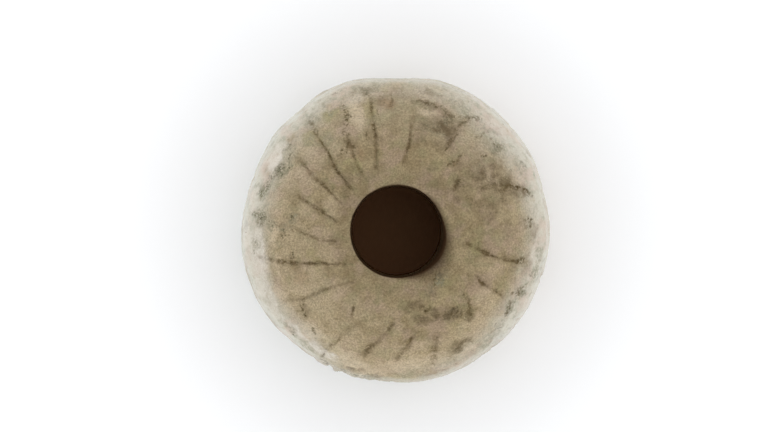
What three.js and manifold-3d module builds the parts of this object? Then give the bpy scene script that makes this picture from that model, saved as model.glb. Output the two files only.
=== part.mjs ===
// Stone spindle whorl: a low bun of limestone with a spindle hole through its middle.
// Straight strokes are cut into the domed upper face. They lean like the blades of a
// pinwheel and stop short of a plain collar round the hole. The underside is flat.
// Millimetres, +Z up. The origin is on the hole's axis, at the level of the flat underside.

import * as THREE from 'three';
import { mergeVertices } from 'three/addons/utils/BufferGeometryUtils.js';
import loadManifold from 'manifold-3d';

// Whole body
const HEIGHT = 13.5;
const RIM_RADIUS = 16.3;                   // at the girth, where nothing is worn away
const RIM_OFFSET = { x: -0.15, y: 0.2 };   // the hole was drilled a little off the middle
const GIRTH_HEIGHT = 4.8;
const BASE_RADIUS = 10.5;                  // outer edge of the flat underside

// Upper face: a flat collar round the hole, a dome, and a soft arris above the steep side
const COLLAR_RADIUS = 6.0;
const ARRIS_HEIGHT = 8.3;
const ARRIS_RATIO = 0.953;                 // arris radius over rim radius
const DOME_ARC = 0.65;                     // share of an ellipse's half width that the dome uses

// Spindle hole, drilled from both faces, so that it is narrowest half way
const HOLE_RADIUS = 4.62;
const HOLE_WAIST = 0.08;
const HOLE_EDGE = 0.2;                     // rounding of both mouths

// Steps round the axis, and along each stretch of the cross-section
const ANGLE_STEPS = 80;
const STEPS = { wall: 4, mouth: 3, dome: 9, side: 4, underside: 6 };

// Stretches of the rim that are ground or worn flatter: angles in degrees, depths in mm
const RIM_FLATS = [
  { angle: 15, halfWidth: 15, depth: 0.2 },
  { angle: 90, halfWidth: 18, depth: 0.45 },
  { angle: 130, halfWidth: 12, depth: 0.3 },
  { angle: 160, halfWidth: 30, depth: 0.4 },
  { angle: 230, halfWidth: 20, depth: 0.25 },
  { angle: 265, halfWidth: 18, depth: 0.2 },
  { angle: 305, halfWidth: 12, depth: 0.1 },
  { angle: 340, halfWidth: 15, depth: 0.1 },
];

// The spindle has widened one side of the upper mouth and rounded its shoulder
const MOUTH_WEAR = { angle: 330, halfWidth: 58, depth: 0.35, reach: 4.0, shoulder: 0.6 };

// Shallow hollows in the upper face: the worn dish, and the beds of lost flakes
const HOLLOWS = [
  { angle: 325, halfWidth: 42, radius: 6.7, halfLength: 2.1, depth: 0.22 },
  { angle: 72, halfWidth: 13, radius: 12.0, halfLength: 1.7, depth: 0.34 },
  { angle: 22, halfWidth: 12, radius: 12.3, halfLength: 1.5, depth: 0.22 },
  { angle: 152, halfWidth: 9, radius: 13.2, halfLength: 1.1, depth: 0.2 },
  { angle: 296, halfWidth: 13, radius: 9.3, halfLength: 1.2, depth: 0.16 },
];

// Chips broken out of the rim: place, and half sizes round, out from and along the axis
const CHIPS = [
  { angle: 245, radius: 15.85, height: 6.6, size: [0.75, 0.5, 0.9] },
  { angle: 261, radius: 15.3, height: 8.2, size: [0.95, 0.5, 0.6] },
  { angle: 346, radius: 15.55, height: 7.9, size: [0.8, 0.35, 0.7] },
  { angle: 178, radius: 15.6, height: 8.1, size: [0.9, 0.4, 0.6] },
  { angle: 118, radius: 16.35, height: 6.0, size: [1.1, 0.45, 0.9] },
];
const CHIP_DETAIL = 0;

// Strokes: points as [angle, radius] from the collar outwards, and the depth of the cut
const STROKES = [
  { points: [[172, 6], [165, 8], [160, 11]], depth: 0.28 },
  { points: [[153, 6.5], [147, 9], [143, 12.5]], depth: 0.34 },
  { points: [[134, 8], [132, 10.5], [129, 14]], depth: 0.3 },
  { points: [[122, 6.5], [118, 9.5], [117, 11.5]], depth: 0.26 },
  { points: [[109, 6.5], [103, 9.5], [102, 12.5], [101, 14]], depth: 0.32 },
  { points: [[84, 7], [82, 9], [81, 12]], depth: 0.26 },
  { points: [[59, 10], [59, 11.5], [57, 13.5]], depth: 0.24 },
  { points: [[40, 11.5], [38, 14]], depth: 0.22 },
  { points: [[26, 10.5], [21, 12], [15, 14]], depth: 0.22 },
  { points: [[190, 6.5], [181, 9.5], [177, 12.5]], depth: 0.24 },
  { points: [[212, 6.5], [200, 9.5], [193, 13], [190, 14.5]], depth: 0.34 },
  { points: [[230, 6.5], [221, 8.5], [216, 11.5], [212, 14.5]], depth: 0.3 },
  { points: [[251, 9], [244, 11], [239, 14]], depth: 0.28 },
  { points: [[269, 9], [261, 11], [255, 13.5]], depth: 0.34 },
  { points: [[280, 10.5], [269, 13.5]], depth: 0.3 },
  { points: [[292, 11], [285, 14.5]], depth: 0.3 },
  { points: [[314, 10], [310, 12.5]], depth: 0.24 },
  { points: [[330, 9.5], [329, 11], [328, 13.5]], depth: 0.28 },
  { points: [[350, 7.5], [345, 10.5], [346, 13]], depth: 0.32 },
];
const STROKE_SLOPE = 0.85;                 // half width over depth of the V-shaped cut
const STROKE_STEP = 1.5;                   // longest stretch of a cut that stays straight
const STROKE_TAPER = 0.16;                 // share of the stroke over which each end runs out
const CUTTER_RISE = 0.35;                  // how far each cutter stands above the stone

const STONE = { colour: 0xb7a98c, roughness: 0.85, metalness: 0.0 };

const radians = THREE.MathUtils.degToRad;
const mix = THREE.MathUtils.lerp;

// 1 at the centre, falling smoothly to 0 at the half width
function swell(distance, halfWidth) {
  return distance < halfWidth ? Math.cos((distance / halfWidth) * (Math.PI / 2)) ** 2 : 0;
}

// How far apart two directions are, from 0 to 180 degrees
function turnBetween(angleA, angleB) {
  const turn = (((angleA - angleB) % 360) + 360) % 360;
  return Math.min(turn, 360 - turn);
}

function place(angle, radius, height) {
  const turn = radians(angle);
  return new THREE.Vector3(radius * Math.cos(turn), radius * Math.sin(turn), height);
}

function rimRadius(angle) {
  const shift = RIM_OFFSET.x * Math.cos(radians(angle)) + RIM_OFFSET.y * Math.sin(radians(angle));
  const worn = RIM_FLATS.map((flat) => flat.depth * swell(turnBetween(angle, flat.angle), flat.halfWidth));
  return RIM_RADIUS + shift - worn.reduce((sum, depth) => sum + depth, 0);
}

// How worn the upper mouth is at an angle, from 0 to 1
function mouthWear(angle) {
  return swell(turnBetween(angle, MOUTH_WEAR.angle), MOUTH_WEAR.halfWidth);
}

function hollowDepth(angle, radius) {
  const depths = HOLLOWS.map((hollow) => {
    const across = swell(turnBetween(angle, hollow.angle), hollow.halfWidth);
    return hollow.depth * across * swell(Math.abs(radius - hollow.radius), hollow.halfLength);
  });
  return depths.reduce((sum, depth) => sum + depth, 0);
}

// Height of the upper face: level on the collar, then part of an ellipse out to the arris
function upperHeight(angle, radius) {
  const arris = rimRadius(angle) * ARRIS_RATIO;
  const share = Math.max(0, radius - COLLAR_RADIUS) / (arris - COLLAR_RADIUS);
  const fall = 1 - Math.sqrt(1 - (DOME_ARC * share) ** 2);
  const wholeFall = 1 - Math.sqrt(1 - DOME_ARC ** 2);
  return HEIGHT - (HEIGHT - ARRIS_HEIGHT) * (fall / wholeFall) - hollowDepth(angle, radius);
}

function wallRadius(angle, height) {
  const waist = HOLE_WAIST * Math.sin((Math.PI * height) / HEIGHT);
  const flare = MOUTH_WEAR.depth * mouthWear(angle) * swell(HEIGHT - height, MOUTH_WEAR.reach);
  return HOLE_RADIUS - waist + flare;
}

// Hole wall from the lower mouth to the upper one, whose shoulder is a quarter circle
function wallPoints(angle) {
  const shoulder = HOLE_EDGE + MOUTH_WEAR.shoulder * mouthWear(angle);
  const points = [place(angle, HOLE_RADIUS + HOLE_EDGE, 0)];
  for (let step = 0; step < STEPS.wall; step += 1) {
    const height = mix(HOLE_EDGE, HEIGHT - shoulder, step / STEPS.wall);
    points.push(place(angle, wallRadius(angle, height), height));
  }
  for (let step = 0; step <= STEPS.mouth; step += 1) {
    const turn = (Math.PI / 2) * (step / STEPS.mouth);
    const height = HEIGHT - shoulder * (1 - Math.sin(turn));
    points.push(place(angle, wallRadius(angle, height) + shoulder * (1 - Math.cos(turn)), height));
  }
  return points;
}

// Collar edge and dome, out to the arris
function upperPoints(angle) {
  const arris = rimRadius(angle) * ARRIS_RATIO;
  const points = [];
  for (let step = 0; step <= STEPS.dome; step += 1) {
    const radius = mix(COLLAR_RADIUS, arris, step / STEPS.dome);
    points.push(place(angle, radius, upperHeight(angle, radius)));
  }
  return points;
}

// Steep side, from below the arris down to the girth
function sidePoints(angle) {
  const rim = rimRadius(angle);
  const points = [];
  for (let step = 1; step <= STEPS.side; step += 1) {
    const above = 1 - step / STEPS.side;
    const radius = rim - rim * (1 - ARRIS_RATIO) * above ** 2;
    points.push(place(angle, radius, mix(GIRTH_HEIGHT, ARRIS_HEIGHT, above)));
  }
  return points;
}

// Rounded lower edge, a quarter of an ellipse from the girth to the flat underside
function undersidePoints(angle) {
  const rim = rimRadius(angle);
  const points = [];
  for (let step = 1; step <= STEPS.underside; step += 1) {
    const turn = (Math.PI / 2) * (step / STEPS.underside);
    const radius = BASE_RADIUS + (rim - BASE_RADIUS) * Math.cos(turn);
    points.push(place(angle, radius, GIRTH_HEIGHT * (1 - Math.sin(turn))));
  }
  return points;
}

// A closed mesh as a solid that can be joined and cut
function solidFrom(geometry, wasm) {
  const bare = geometry.clone();
  bare.deleteAttribute('normal');
  bare.deleteAttribute('uv');
  const merged = mergeVertices(bare);
  const mesh = new wasm.Mesh({
    numProp: 3,
    vertProperties: new Float32Array(merged.attributes.position.array),
    triVerts: new Uint32Array(merged.index.array),
  });
  return new wasm.Manifold(mesh);
}

function geometryFrom(positions, triangles) {
  const geometry = new THREE.BufferGeometry();
  geometry.setAttribute('position', new THREE.Float32BufferAttribute(positions, 3));
  geometry.setIndex(triangles);
  geometry.computeVertexNormals();
  return geometry;
}

// The cross-section carried round the axis, so that the grid closes both ways
function bodyGeometry() {
  const rings = [];
  for (let step = 0; step < ANGLE_STEPS; step += 1) {
    const angle = (360 * step) / ANGLE_STEPS;
    rings.push([...wallPoints(angle), ...upperPoints(angle), ...sidePoints(angle), ...undersidePoints(angle)]);
  }
  const stations = rings[0].length;
  const corner = (ring, station) => (ring % ANGLE_STEPS) * stations + (station % stations);
  const triangles = [];
  for (let ring = 0; ring < ANGLE_STEPS; ring += 1) {
    for (let station = 0; station < stations; station += 1) {
      const [near, out] = [corner(ring, station), corner(ring, station + 1)];
      const [nearNext, outNext] = [corner(ring + 1, station), corner(ring + 1, station + 1)];
      triangles.push(near, out, outNext, near, outNext, nearNext);
    }
  }
  return geometryFrom(rings.flat().flatMap((point) => point.toArray()), triangles);
}

// Points along a stroke, on the stone's surface, no further apart than the longest step
function strokePath(points) {
  const path = [];
  for (let leg = 0; leg < points.length - 1; leg += 1) {
    const [[angleA, radiusA], [angleB, radiusB]] = [points[leg], points[leg + 1]];
    const steps = Math.ceil(place(angleA, radiusA, 0).distanceTo(place(angleB, radiusB, 0)) / STROKE_STEP);
    for (let step = leg === 0 ? 0 : 1; step <= steps; step += 1) {
      const angle = mix(angleA, angleB, step / steps);
      const radius = mix(radiusA, radiusB, step / steps);
      path.push(place(angle, radius, upperHeight(angle, radius)));
    }
  }
  return path;
}

// A stroke's cutter: a V-shaped keel that rises out of the stone at both ends
function strokeGeometry({ points, depth }) {
  const path = strokePath(points);
  const last = path.length - 1;
  const up = new THREE.Vector3(0, 0, 1);
  const positions = path.flatMap((centre, index) => {
    const ahead = path[Math.min(index + 1, last)].clone().sub(path[Math.max(index - 1, 0)]).normalize();
    const side = up.clone().cross(ahead).normalize();
    const normal = ahead.clone().cross(side);
    const share = index / last;
    const fullness = Math.min(1, share / STROKE_TAPER, (1 - share) / STROKE_TAPER);
    const sink = depth * mix(-0.2, 1, fullness);
    const spread = (CUTTER_RISE + sink) * STROKE_SLOPE;
    const top = centre.clone().addScaledVector(normal, CUTTER_RISE);
    return [
      ...top.clone().addScaledVector(side, -spread).toArray(),
      ...top.clone().addScaledVector(side, spread).toArray(),
      ...centre.clone().addScaledVector(normal, -sink).toArray(),
    ];
  });
  const triangles = [0, 1, 2, 3 * last, 3 * last + 2, 3 * last + 1];
  for (let index = 0; index < last; index += 1) {
    for (let edge = 0; edge < 3; edge += 1) {
      const [here, beside] = [3 * index + edge, 3 * index + ((edge + 1) % 3)];
      triangles.push(here, here + 3, beside + 3, here, beside + 3, beside);
    }
  }
  return geometryFrom(positions, triangles);
}

function chipGeometry({ angle, radius, height, size }) {
  const geometry = new THREE.IcosahedronGeometry(1, CHIP_DETAIL);
  const [round, out, along] = size;
  geometry.scale(out, round, along);
  geometry.rotateZ(radians(angle));
  return geometry.translate(...place(angle, radius, height).toArray());
}

function whorlGeometry(wasm) {
  const cutters = [...STROKES.map(strokeGeometry), ...CHIPS.map(chipGeometry)];
  let whorl = solidFrom(bodyGeometry(), wasm);
  for (const cutter of cutters) {
    whorl = whorl.subtract(solidFrom(cutter, wasm));
  }
  const mesh = whorl.getMesh();
  return geometryFrom(Array.from(mesh.vertProperties), Array.from(mesh.triVerts));
}

function stoneMaterial() {
  return new THREE.MeshStandardMaterial({
    color: STONE.colour,
    roughness: STONE.roughness,
    metalness: STONE.metalness,
    flatShading: true,
  });
}

const wasm = await loadManifold();
wasm.setup();

const model = new THREE.Group();
const whorl = new THREE.Mesh(whorlGeometry(wasm), stoneMaterial());
whorl.name = 'whorl';
model.add(whorl);

export default model;
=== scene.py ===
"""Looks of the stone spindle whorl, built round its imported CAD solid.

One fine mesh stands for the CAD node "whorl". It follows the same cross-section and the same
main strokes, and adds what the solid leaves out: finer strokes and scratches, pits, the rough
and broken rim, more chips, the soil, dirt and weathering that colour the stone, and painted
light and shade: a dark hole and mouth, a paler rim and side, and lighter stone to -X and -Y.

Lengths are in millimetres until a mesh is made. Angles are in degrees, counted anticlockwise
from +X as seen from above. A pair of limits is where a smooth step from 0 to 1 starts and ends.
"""
import math

import bpy
import numpy as np
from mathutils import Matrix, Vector, noise


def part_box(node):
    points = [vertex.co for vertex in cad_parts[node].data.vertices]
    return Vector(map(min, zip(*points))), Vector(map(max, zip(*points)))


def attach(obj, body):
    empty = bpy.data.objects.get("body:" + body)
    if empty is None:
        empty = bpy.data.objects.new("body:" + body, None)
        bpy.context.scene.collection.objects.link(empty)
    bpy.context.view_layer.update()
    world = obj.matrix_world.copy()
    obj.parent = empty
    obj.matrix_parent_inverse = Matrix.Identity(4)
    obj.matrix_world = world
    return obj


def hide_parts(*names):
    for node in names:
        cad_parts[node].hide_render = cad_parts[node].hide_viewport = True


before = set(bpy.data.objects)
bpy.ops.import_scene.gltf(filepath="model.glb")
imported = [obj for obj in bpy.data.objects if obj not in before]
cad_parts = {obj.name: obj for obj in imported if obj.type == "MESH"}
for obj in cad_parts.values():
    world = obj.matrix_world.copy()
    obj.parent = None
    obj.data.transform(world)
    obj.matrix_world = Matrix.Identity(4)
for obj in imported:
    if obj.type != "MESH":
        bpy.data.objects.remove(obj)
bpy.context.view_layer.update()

MM = 0.001

# Cross-section, the same as the CAD solid's apart from the lower mouth
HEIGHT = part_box("whorl")[1].z / MM
RIM_RADIUS = 16.3  # at the girth, where nothing is worn away
RIM_OFFSET = (-0.15, 0.2)  # the hole was drilled a little off the middle
GIRTH_HEIGHT = 4.8
BASE_RADIUS = 10.5  # outer edge of the flat underside
COLLAR_RADIUS = 6.0
ARRIS_HEIGHT = 8.3
ARRIS_RATIO = 0.953  # arris radius over rim radius
DOME_ARC = 0.65  # share of an ellipse's half width that the dome uses
HOLE_RADIUS = 4.62
HOLE_WAIST = 0.08  # how much narrower the hole is half way
HOLE_EDGE = 0.2  # rounding of the unworn upper mouth
LOWER_EDGE = 0.06  # rounding of the lower mouth
RIM_FLATS = (  # angle, half width, depth
    (15, 15, 0.2),
    (90, 18, 0.45),
    (130, 12, 0.3),
    (160, 30, 0.4),
    (230, 20, 0.25),
    (265, 18, 0.2),
    (305, 12, 0.1),
    (340, 15, 0.1),
)
MOUTH_WEAR = {"angle": 330, "half_width": 58, "depth": 0.35, "reach": 4.0, "shoulder": 0.6}
TIGHT_MOUTH = (97, 42)  # angle and half width of the stretch where the hole is least worn

# Grid of the fine mesh: columns round the axis, and stations along the cross-section
COLUMNS = 648
STATIONS = {"wall": 13, "mouth": 9, "collar": 6, "dome": 92, "side": 18, "underside": 12, "base": 4}

# Noise over the surface: size of its swells, octaves, seed
BROAD = (5.0, 2, 1)
MEDIUM = (1.6, 3, 2)
FINE = (0.45, 3, 3)
DRIFT_AROUND = (0.9, 3, 6)
DRIFT_ALONG = (0.9, 3, 7)
BITES = (1.25, 2, 8)
BITE_STRETCH = (1.0, 1.0, 0.5)  # bites are taller than wide
BITE_LIMITS = (0.0, 0.3)
DRIFT = 0.4  # how far the outlines of marks wander
FALLOFF = 1.0  # how fast the finer octaves fade
LACUNARITY = 2.0
# Scattered pits: how far apart, seed
PITS = (1.1, 4)
SMALL_PITS = (0.55, 5)
PIT_RADIUS = 0.42  # as a share of the distance between pits
# How far each seed moves the noise
FIELD_STEP = (17.3, -9.1, 5.7)
PIT_STEP = (-7.7, 3.9, 11.3)
LINE_STEP = 3.1
KNOT_STEP = 0.73  # between the knots of the noise along a line
LINE_HEIGHT = 0.5  # where the line runs in the noise

# Regions of the surface, as limits. A slope is a part of the outward normal.
FACING_UP = (0.2, 0.6)
UPPER_HEIGHTS = (5.0, 7.0)
UPPER_SLOPES = (-0.3, 0.3)  # outwards and upwards together
OUTER_SHARES = (0.78, 0.94)  # of the rim's radius
OUTER_HEIGHTS = (1.0, 3.0)
WALL_SLOPES = (0.4, 0.9)  # towards the axis
BASE_SLOPES = (0.85, 0.99)  # downwards
PITTED_LIMITS = (-0.2, 0.5)  # of broad noise with a share of medium noise
PITTED_MIX = 0.5
RAGGED_SHARES = (0.86, 0.95)
RAGGED_HEIGHTS = (2.6, 4.6)
RAGGED = ((253, 21, 1.0), (315, 24, 1.0))  # broken stretches of the rim: angle, half width, strength

# Depths of the relief
INSET = 0.02  # the finest relief starts this far inside the solid
BROAD_ROUGHNESS = 0.03
MEDIUM_ROUGHNESS = 0.028
FINE_ROUGHNESS = 0.012
OUTER_MEDIUM_ROUGHNESS = 0.02  # how much more there is near the rim
OUTER_FINE_ROUGHNESS = 0.014
WALL_MEDIUM_ROUGHNESS = 0.055
WALL_FINE_ROUGHNESS = 0.01
PIT_DEPTH = 0.1
SMALL_PIT_DEPTH = 0.05
STRAY_PITS = 0.25  # share of the small pits' depth outside the pitted region
BITE_DEPTH = 0.28
BITE_ROUGHNESS = 0.05

# Cut strokes: half width, depth, and the ends and bends (angle, radius, how much soil is left there)
STROKES = (
    (0.15, 0.20, ((172, 6, 0.6), (164, 8.5, 1), (160, 11, 0.6))),
    (0.25, 0.28, ((154, 6, 0.3), (149, 8, 0.8), (146, 10.5, 0.9), (143, 12.5, 0.6))),
    (0.19, 0.26, ((137, 6, 0.6), (135, 8.5, 0.9), (132, 10, 0.9), (130, 12.5, 0.9), (128, 15, 0.7))),
    (0.18, 0.20, ((122, 6.5, 0.7), (120, 8.5, 0.3), (118, 9.5, 0.6), (119, 10.5, 0.5), (117, 11.5, 0.4))),
    (0.20, 0.26, ((109, 6.5, 0.9), (105, 8, 0.4), (103, 9.5, 0.9), (102, 12.5, 0.9), (101, 14, 0.8))),
    (0.18, 0.20, ((85, 6.5, 0.2), (82, 9, 1), (82, 11, 0.5), (81, 12, 0.4))),
    (0.18, 0.16, ((59, 9.5, 0.4), (59, 11, 0.6), (59, 12.5, 0.4), (57, 14, 0.2))),
    (0.20, 0.16, ((50, 8.5, 0.9), (49, 10, 0.5))),
    (0.22, 0.18, ((26, 10.5, 0.2), (21, 11.5, 0.5), (22, 12.5, 0.8), (20, 13, 0.6), (15, 14.5, 0.8))),
    (0.18, 0.14, ((40, 11.5, 0.5), (39, 12, 0.2), (38, 14, 0.3))),
    (0.19, 0.18, ((190, 6, 0.8), (186, 8, 0.5), (178, 10.5, 0.4), (177, 12.5, 0.3))),
    (0.21, 0.28, ((216, 6, 0.2), (210, 6.5, 0.6), (204, 8, 0.8), (197, 11, 1), (194, 12.5, 0.8),
                  (190, 15, 0.3))),
    (0.18, 0.22, ((230, 6.5, 0.7), (225, 7.5, 0.2), (221, 8.5, 0.6), (218, 10, 0.5), (216, 12, 0.4),
                  (210, 14, 0.4))),
    (0.30, 0.20, ((251, 9, 0.3), (245, 10.5, 0.3), (242, 12, 0.4))),
    (0.15, 0.20, ((242, 11.5, 0.3), (242, 12.5, 0.8), (240, 13.5, 0.7), (239, 15.5, 0.9))),
    (0.16, 0.16, ((240, 8.5, 0.9), (242, 10, 1))),
    (0.25, 0.26, ((269, 9, 0.4), (265, 10, 0.9), (261, 11, 0.6), (256, 12.5, 0.8), (255, 13.5, 0.5))),
    (0.28, 0.22, ((280, 10.5, 0.8), (276, 11.5, 0.9), (269, 13.5, 0.6))),
    (0.30, 0.22, ((292, 11, 0.7), (287, 13, 0.9), (285, 14.5, 0.8))),
    (0.18, 0.12, ((317, 9.5, 0.3), (314, 10.5, 0.8), (310, 11.5, 0.5), (311, 12.5, 0.2))),
    (0.17, 0.20, ((331, 9, 0.6), (329, 10, 0.9), (328, 13, 0.9))),
    (0.22, 0.22, ((351, 7, 0.9), (348, 8, 0.6), (347, 9, 0.9), (345, 10.5, 0.9), (346, 13, 0.9))),
    (0.15, 0.14, ((39, 8.5, 0.7), (39, 8, 1), (35, 7, 0.8))),
)
# Soil caught in scratches too shallow to show as cuts, laid out like the strokes
STAINS = (
    (0.17, ((83, 13.5, 0.3), (78, 13.5, 0.8), (69, 13.5, 0.4), (64, 12.75, 0.8), (68, 12, 0.3))),
    (0.14, ((60, 12, 0.5), (58, 13.5, 0.9), (54, 14.5, 0.7))),
    (0.12, ((58, 12, 0.5), (58, 11.25, 0.8), (60, 10.5, 0.6), (59, 9.75, 0.9))),
    (0.15, ((52, 8.5, 0.9), (51, 9, 1), (51, 9.5, 0.3), (50, 10.25, 0.9))),
    (0.24, ((41, 8, 0.8), (35, 7.25, 0.8))),
    (0.10, ((38, 8, 0.5), (37, 8.5, 0.4))),
    (0.21, ((25, 11.75, 0.6), (22, 12.75, 1), (18, 14, 1), (15, 14.5, 0.6))),
    (0.19, ((28, 9.75, 0.4), (25, 11.25, 0.5))),
    (0.18, ((5, 13.25, 0.8), (5, 13.75, 0.9), (2, 13.75, 0.9), (2, 13.25, 0.6), (5, 13.25, 0.6))),
    (0.11, ((340, 11.5, 0.4), (341, 12.25, 0.5))),
    (0.16, ((313, 5.75, 0.6), (308, 6, 0.8), (303, 6.75, 0.6))),
    (0.19, ((289, 8.25, 0.7), (289, 8.75, 1), (293, 8.5, 0.7))),
    (0.28, ((293, 9.5, 0.3), (300, 10, 0.4), (307, 10.25, 0.7), (309, 11.75, 0.6))),
    (0.30, ((346, 12.75, 1), (347, 13.25, 1))),
    (0.14, ((99, 12.5, 0.6), (98, 10.75, 0.4))),
    (0.10, ((97, 14, 0.4), (95, 13.5, 0.6), (96, 13, 0.4))),
    (0.09, ((92, 14.25, 0.4), (92, 13.5, 0.5), (93, 13, 0.5))),
    (0.15, ((317, 9.25, 0.8), (316, 9.75, 0.3), (314, 10.75, 0.9), (312, 11.5, 0.7))),
    (0.26, ((294, 13.5, 0.3), (298, 13.5, 0.6), (302, 13.25, 0.3), (304, 13.5, 0.4))),
    (0.14, ((336, 14.25, 0.8), (333, 14, 0.7), (332, 13.5, 0.8))),
    (0.12, ((334, 14.5, 0.6), (332, 14, 0.8))),
    (0.19, ((328, 13.75, 0.8), (326, 14, 0.8), (323, 14.25, 0.8))),
    (0.12, ((317, 14, 0.5), (315, 14.5, 0.7), (317, 14.75, 0.6))),
    (0.15, ((179, 11.25, 0.6), (184, 11.5, 0.9))),
    (0.11, ((182, 11, 0.6), (182, 12.25, 0.6))),
    (0.10, ((191, 10.75, 0.7), (193, 11, 1), (195, 10.75, 0.7))),
    (0.11, ((179, 10.75, 0.6), (184, 8.5, 0.5))),
    (0.10, ((187, 15, 0.4), (190, 14.75, 0.6))),
    (0.15, ((216, 11.75, 0.6), (217, 12.25, 0.9), (223, 12.75, 1))),
    (0.11, ((220, 12.75, 0.8), (218, 13, 0.5))),
    (0.09, ((229, 13.25, 0.7), (231, 13.5, 0.7))),
    (0.14, ((255, 12.75, 0.8), (257, 12.75, 0.7))),
    (0.10, ((107, 10.5, 0.6), (108, 9.75, 0.8))),
    (0.12, ((126, 9.75, 0.7), (123, 9.5, 0.9), (118, 10.5, 0.7))),
    (0.11, ((117, 11, 0.7), (119, 11.5, 0.6), (113, 13, 0.9), (111, 12.5, 0.7))),
    (0.11, ((115, 12, 0.6), (113, 12.5, 0.8), (112, 13.25, 0.6))),
    (0.12, ((101, 14, 0.5), (103, 14.5, 0.6), (103, 15.25, 0.5))),
    (0.10, ((110, 15.75, 0.5), (116, 15.75, 0.5))),
    (0.12, ((113, 14, 0.8), (114, 12.5, 0.9), (120, 10.75, 0.9), (117, 9.5, 0.8))),
    (0.10, ((127, 9.75, 0.8), (124, 10, 1), (118, 9.75, 0.8), (120, 8.5, 0.6))),
    (0.16, ((65, 13, 0.6), (59, 13.5, 0.6), (53, 14.5, 0.5))),
    (0.13, ((46, 13.75, 0.5), (40, 13.25, 0.5), (39, 14.25, 0.4))),
    (0.10, ((41, 11.5, 0.8), (40, 12, 0.9))),
    (0.12, ((29, 14.75, 0.6), (26, 15, 0.6))),
    (0.12, ((50, 12.5, 0.4), (48, 13.25, 0.5), (48, 14.25, 0.4))),
)
LONGEST_STROKE = 20
TAPER_LENGTH = 0.5  # each end of a stroke runs out over this length
TAPER_SHAPE = 0.6
CUT_SHAPE = 0.8  # bulge of a cut's sides
CUT_SHARE = 0.65  # share of the depth that stays open where a stroke is clearest
SOIL_CORE = (0.8, 1.6)  # strength, and how many half widths it reaches
SOIL_HALO = (0.35, 3.2)
SOIL_PATCH_LIMITS = (0.45, 1.3)
STAIN_REACH = 1.5
# Unevenness of strokes and stains: how much, over what length, first seed
STROKE_WANDER = (0.07, 0.7, 0)
STROKE_WIDENING = (0.35, 0.45, 50)
SOIL_PATCHES = (0.6, 0.3, 150)
STAIN_WANDER = (0.1, 0.3, 200)
STAIN_WIDENING = (0.6, 0.35, 250)

# Hollows in the upper face: angle, radius, half sizes round and along, depth
HOLLOWS = (
    (325, 6.7, 4.4, 2.1, 0.2),
    (72, 12, 2.6, 1.7, 0.34),
    (22, 12.3, 2.4, 1.5, 0.22),
    (152, 13.2, 2, 1.1, 0.2),
    (296, 9.3, 2.1, 1.2, 0.16),
)

# Marks on the upper face: angle, radius, half sizes round and along, strength
CLOUDS = (  # soft brown-grey shade
    (23, 11.9, 2.4, 1.7, 0.85),
    (18, 13.2, 1.1, 1.2, 0.7),
    (30, 10.5, 2, 1.7, 0.95),
    (10, 9.3, 1.1, 1, 0.7),
    (352, 9, 2.4, 1.4, 0.25),
    (36, 8.9, 2.4, 1.9, 0.6),
    (40, 6.6, 1, 0.9, 0.3),
    (67, 11.5, 2.6, 1.5, 1),
    (61, 12.4, 1.4, 1.2, 0.7),
    (75, 11, 1.5, 1.3, 0.7),
    (60, 11.2, 0.9, 1.7, 0.55),
    (60, 9.9, 1.8, 1, 0.3),
    (81, 13.4, 1, 0.5, 0.6),
    (76, 13.5, 1.1, 0.42, 0.7),
    (71, 13.5, 1.1, 0.42, 0.5),
    (67, 13.25, 0.8, 0.5, 0.6),
    (65, 12.75, 0.6, 0.6, 0.7),
    (67, 12, 0.8, 0.5, 0.5),
    (38, 7.75, 1, 0.42, 0.9),
    (292, 9.3, 2.6, 0.9, 0.85),
    (282, 7.9, 1.7, 1, 0.75),
    (303, 10.1, 2, 0.9, 0.85),
    (52, 6.1, 2.2, 0.9, 0.35),
    (31, 7.2, 1.2, 0.9, 0.6),
    (0, 14, 1.7, 0.8, 0.55),
    (0, 6.2, 1.4, 0.6, 0.4),
    (15, 9.5, 2.2, 1.8, 0.6),
    (46, 11.3, 1.5, 0.9, 0.4),
    (45, 14.6, 1.2, 0.5, 0.3),
    (60, 6.8, 1.7, 1.1, 0.35),
    (115, 6.5, 3, 0.9, 0.4),
    (135, 7.1, 1, 0.8, 0.4),
    (190, 6.2, 2.2, 0.7, 0.35),
    (262, 6, 2.6, 0.7, 0.4),
    (38, 10.6, 1.8, 1.2, 0.35),
    (0, 11.3, 1.9, 1.1, 0.35),
    (346, 13.7, 1.7, 0.8, 0.4),
    (311, 11.1, 1, 1.2, 0.7),
    (298, 13.4, 2, 0.8, 0.6),
    (289, 12, 0.8, 1.6, 0.4),
    (127, 7.6, 1.2, 0.9, 0.55),
    (117, 9.9, 1.2, 1.6, 0.3),
    (143, 6.4, 1, 0.7, 0.5),
    (131, 7, 1, 0.8, 0.5),
    (199, 12.1, 1.2, 0.5, 0.4),
    (200, 10.9, 1.7, 0.8, 0.35),
    (221, 12.6, 1.2, 0.9, 0.5),
    (236, 14, 1.4, 0.8, 0.25),
    (346, 12.4, 1.5, 0.9, 0.35),
    (330, 10.4, 0.9, 1.6, 0.3),
    (256, 12.9, 0.9, 0.9, 0.3),
    (262, 15.4, 1.4, 0.5, 0.4),
    (95, 13.3, 1.5, 1.1, 0.6),
    (105, 15, 1.8, 0.7, 0.5),
    (315, 6.3, 1.1, 0.8, 0.8),
    (300, 7.2, 1.5, 0.8, 0.5),
    (330, 9.2, 1.5, 1.3, 0.3),
    (90, 11, 1.9, 1.4, 0.35),
    (88, 14.5, 2.4, 0.7, 0.35),
    (32, 12.2, 1.6, 1, 0.6),
    (303, 6.6, 1, 0.7, 0.4),
    (75, 9.8, 1.2, 0.8, 0.35),
    (22, 8.2, 2, 0.9, 0.4),
    (90, 13.8, 1.6, 0.5, 0.35),
    (75, 14.7, 1.8, 0.5, 0.4),
    (286, 15.4, 1.6, 0.5, 0.4),
)
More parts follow.
